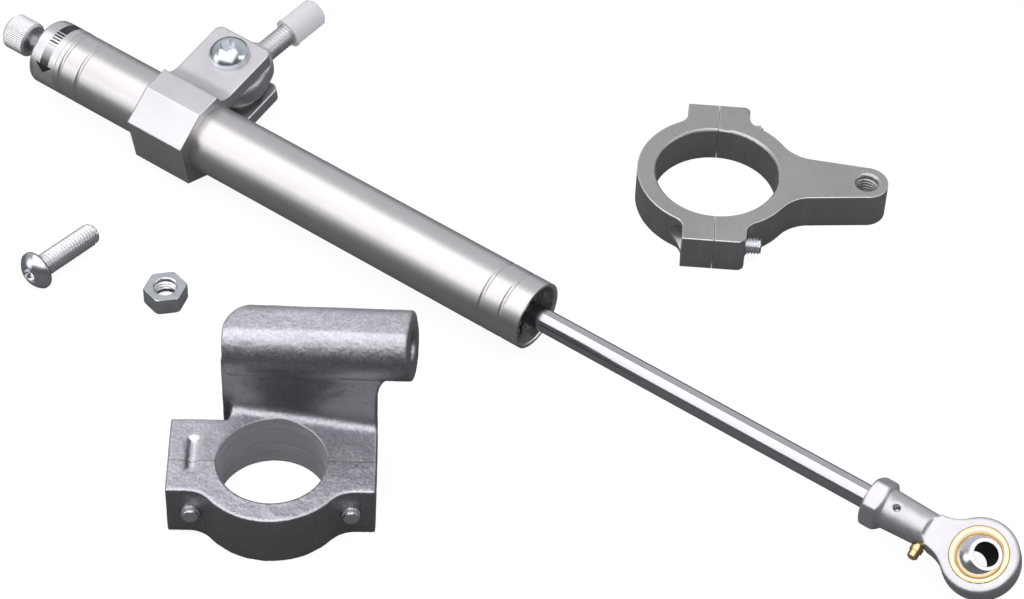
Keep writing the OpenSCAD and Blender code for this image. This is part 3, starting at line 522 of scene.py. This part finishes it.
def make_threads():
    """The nodes with threads, drawn again with a cut core or hole and a helical ridge on it."""
    # Node, places, radius of the CAD cylinder, its span, the ridge's span, and the thread
    jobs = (
        ("loose_screw", [SCREW], 3.95, (-27.5, 0.2), (-26.6, -0.2), (3.35, 3.93, M8_PITCH)),
        ("stud_body", [STUD], 4.0, (15.0, 39.4), (16.2, 38.0), M8_SCREW),
        ("arm_bracket_screws", ARM_SCREWS, 3.0, (-5.5, 18.0), (8.0, 16.3), M6_SCREW),
        ("cast_bracket_screws", CAST_SCREWS, 3.0, (-9.5, 16.0), (10.0, 15.2), M6_SCREW),
        ("arm_bracket_arm", [ARM_HOLE], TAPPED, (-0.5, 13.0), (0.2, 12.8), M8_HOLE),
        ("loose_nut", [NUT], TAPPED, (-0.5, 6.2), (0.7, 5.7), M8_HOLE),
    )
    for node, places, radius, span, ridge, thread in jobs:
        core = cad_copy(node)
        ridges = bmesh.new()
        for place in places:
            resize_bore(core, place, radius, thread[0], *span)
            add_thread(ridges, place, *ridge, *thread)
        piece = add_piece(node + "_core", core, node)
        if node == "stud_body":
            soften(piece, JOINT, SEAT)
        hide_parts(node)
        bmesh.ops.recalc_face_normals(ridges, faces=ridges.faces)
        # Threads on zinc parts take the paler metal, a painted highlight.
        steel = THREAD_PAINTED_HIGHLIGHT if slot_of[node].startswith("zinc") else None
        add_piece(node + "_thread", ridges, node, 40, steel)


def even_skin(piece, voxel):
    """Rebuilds a piece's mesh as one even skin and returns it with its points and its edges' ends."""
    skin = piece.modifiers.new("skin", "REMESH")
    skin.mode = "VOXEL"
    skin.voxel_size = voxel
    seen = piece.evaluated_get(bpy.context.evaluated_depsgraph_get())
    mesh = bpy.data.meshes.new_from_object(seen)
    piece.modifiers.clear()
    co = np.empty(len(mesh.vertices) * 3)
    mesh.vertices.foreach_get("co", co)
    ends = np.empty(len(mesh.edges) * 2, dtype=int)
    mesh.edges.foreach_get("vertices", ends)
    return mesh, co.reshape(-1, 3), ends.reshape(-1, 2)


def local(place, points):
    """Points in the frame of a place, in millimetres."""
    turned = np.array(place.inverted())
    return (points @ turned[:3, :3].T + turned[:3, 3]) * 1000


def placed(place, points):
    """The inverse of local: points in the model's frame, in metres."""
    turned = np.array(place)
    return (points / 1000) @ turned[:3, :3].T + turned[:3, 3]


def relax(co, ends, free, steps):
    """Moves each point towards the mean of its neighbours, as far as free allows."""
    count = len(co)
    one, two = ends.T
    links = np.bincount(ends.ravel(), minlength=count).astype(float)
    for _ in range(steps):
        for axis in range(3):
            total = np.bincount(one, co[two, axis], count) + np.bincount(two, co[one, axis], count)
            co[:, axis] += 0.5 * free * (total / links - co[:, axis])


def unevenness(point, scale):
    return noise.noise(point * scale) + 0.5 * noise.noise(point * 2.7 * scale)


def roughen(mesh, co, free, depth, scale):
    """Sinks the points by an uneven depth."""
    mesh.vertices.foreach_set("co", co.ravel())
    mesh.update()
    normal = np.empty(len(co) * 3)
    mesh.vertices.foreach_get("normal", normal)
    rough = np.array([unevenness(Vector(point), scale) for point in co])
    co -= normal.reshape(-1, 3) * (free * (0.5 + 0.5 * rough) * depth)[:, None]


def take_skin(piece, mesh, co, slot):
    mesh.vertices.foreach_set("co", co.ravel())
    mesh.shade_smooth()
    mesh.update()
    mesh.materials.clear()
    mesh.materials.append(SLOT_MATERIALS[slot])
    piece.data = mesh


def soften(piece, place, seat):
    """Rounds the edges of a forging, but for the seat about the Z axis of a place."""
    mesh, co, ends = even_skin(piece, FORGED_VOXEL)
    at = local(place, co)
    free = np.clip((np.hypot(at[:, 0], at[:, 1]) - seat - 0.25) / 0.6, 0, 1)
    relax(co, ends, free, 16)
    roughen(mesh, co, free, 0.00004, 500)
    at = local(place, co)
    radius = np.hypot(at[:, 0], at[:, 1])
    at[:, :2] *= np.where(np.abs(radius - seat) < 0.16, seat / np.maximum(radius, 1e-6), 1.0)[:, None]
    take_skin(piece, mesh, placed(place, at), "zinc_forged")


CAP_FACE = -0.000075
INSIDE_BODY = 0.0004


def make_casting():
    """Both halves of the cast bracket in one rough skin; the cap's split face is sunk into the body."""
    joined = cad_copy("cast_bracket_cap")
    back = CAST.inverted()
    for vertex in joined.verts:
        point = back @ vertex.co
        if abs(point.y - CAP_FACE) < 0.00002:
            point.y = INSIDE_BODY
            vertex.co = CAST @ point
    body = cad_copy("cast_bracket_body")
    resize_bore(body, BOSS, TAPPED, M8_HOLE[0], -23, 0.5)
    spare = bpy.data.meshes.new("spare")
    body.to_mesh(spare)
    body.free()
    joined.from_mesh(spare)
    piece = add_piece("cast_bracket_skin", joined, "cast_bracket_body")
    mesh, co, ends = even_skin(piece, CAST_VOXEL)
    at = local(CAST, co)
    radius = np.hypot(at[:, 0], at[:, 1])
    tip = local(BOSS, co)
    hole = np.hypot(tip[:, 0], tip[:, 1])
    free = np.clip((radius - 17.9) / 1.2, 0, 1) * np.clip(hole - 4.2, 0, 1)
    for x in (-CAST_PITCH, CAST_PITCH):
        screw = np.hypot(at[:, 0] - x, at[:, 2] - CAST_SCREW_Z)
        free *= np.clip(screw - 3.2, 0, 1)
    relax(co, ends, free, 14)
    roughen(mesh, co, free, 0.00016, 260)
    at = local(CAST, co)
    radius = np.hypot(at[:, 0], at[:, 1])
    bored = (radius < CAST_BORE + 0.3) & (at[:, 2] < 20.5)
    at[:, :2] *= np.where(bored, CAST_BORE / np.maximum(radius, 1e-6), 1.0)[:, None]
    at[:, 2] = np.maximum(at[:, 2], 0.0)
    take_skin(piece, mesh, placed(CAST, at), "cast_grey")
    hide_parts("cast_bracket_body", "cast_bracket_cap")
    ridges = bmesh.new()
    add_thread(ridges, BOSS, -20.0, -1.2, *M8_HOLE)
    bmesh.ops.recalc_face_normals(ridges, faces=ridges.faces)
    add_piece("cast_bracket_thread", ridges, "cast_bracket_body", 40)


def make_rod_end():
    piece = add_piece("rod_end_skin", cad_copy("rod_end_body"), "rod_end_body")
    soften(piece, EYE, SEAT)
    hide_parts("rod_end_body")


# Stage


def make_stage():
    """A white floor that keeps the shadow; glossy rays see it dark, with a trace of the white."""
    bpy.ops.mesh.primitive_plane_add(size=6, location=(-0.2, 0, TABLE_Z - 0.0001))
    floor = bpy.context.object
    floor.name = "floor"
    material = bpy.data.materials.new("floor_white")
    material.use_nodes = True
    tree = material.node_tree
    tree.nodes.clear()
    n = Nodes(tree)
    path = n.add("LightPath")
    glossy = path.outputs["Is Glossy Ray"]
    base = n.add("BsdfDiffuse")
    n.link(n.mix(glossy, (0.86, 0.86, 0.87), (0.12, 0.12, 0.125)), base.inputs["Color"])
    glow = n.add("Emission")
    glow.inputs["Strength"].default_value = 1.09
    seen = n.math("MAXIMUM", path.outputs["Is Camera Ray"],
                  n.math("MAXIMUM", n.math("MULTIPLY", glossy, 0.04),
                         path.outputs["Is Transmission Ray"]))
    mixed = n.add("MixShader")
    n.link(n.math("MULTIPLY", seen, 0.84), mixed.inputs[0])
    n.link(base.outputs[0], mixed.inputs[1])
    n.link(glow.outputs[0], mixed.inputs[2])
    out = n.add("OutputMaterial")
    n.link(mixed.outputs[0], out.inputs[0])
    floor.data.materials.append(material)


def make_world():
    """A room, dark towards the camera and mid grey behind; camera and transmission rays see white."""
    world = bpy.data.worlds.new("studio")
    bpy.context.scene.world = world
    world.use_nodes = True
    tree = world.node_tree
    tree.nodes.clear()
    n = Nodes(tree)
    split = n.add("SeparateXYZ")
    n.link(n.add("TexCoord").outputs["Generated"], split.inputs[0])
    back = n.ramp(n.math("ADD", split.outputs[1], n.math("MULTIPLY", split.outputs[0], -0.5)),
                  -0.55, 0.75, 0, 1)
    room = n.mix(back, (0.12, 0.12, 0.125), (0.64, 0.645, 0.67))
    path = n.add("LightPath")
    white = n.math("MAXIMUM", path.outputs["Is Camera Ray"], path.outputs["Is Transmission Ray"])
    light = n.add("Background")
    n.link(n.mix(white, room, (1.0, 1.0, 1.0)), light.inputs["Color"])
    out = n.add("OutputWorld")
    n.link(light.outputs[0], out.inputs[0])


MIDDLE = Vector((-0.2, 0, 0))


def area_light(name, towards, distance, size, radiance, colour=(1, 1, 1), slant=0.0):
    """A soft box that shines on the middle of the set; slant turns it about the vertical, in radians."""
    data = bpy.data.lights.new(name, "AREA")
    data.shape = "RECTANGLE"
    data.size, data.size_y = size
    data.energy = radiance * math.pi * size[0] * size[1]
    data.color = colour
    lamp = bpy.data.objects.new(name, data)
    bpy.context.scene.collection.objects.link(lamp)
    lamp.location = MIDDLE + Vector(towards).normalized() * distance
    facing = (lamp.location - MIDDLE).normalized()
    upward = facing.cross(Vector((math.cos(slant), math.sin(slant), 0))).normalized()
    lamp.rotation_euler = Matrix((upward.cross(facing), upward, facing)).transposed().to_euler()


def make_lights():
    area_light("main_box", (-0.05, -0.372, 0.925), 1.5, (2.8, 2.5), 1.45, (1.0, 0.985, 1.0), 0.2)
    area_light("left_box", (-1.3, -1.3, 0.42), 1.88, (1.0, 0.9), 1.4)
    area_light("right_strip", (1.0, 0.45, 0.6), 1.4, (0.4, 0.9), 1.6)


bpy.context.scene.view_settings.view_transform = "Standard"
make_camera()
dress_cad()
make_threads()
make_casting()
make_rod_end()
make_stage()
make_world()
make_lights()
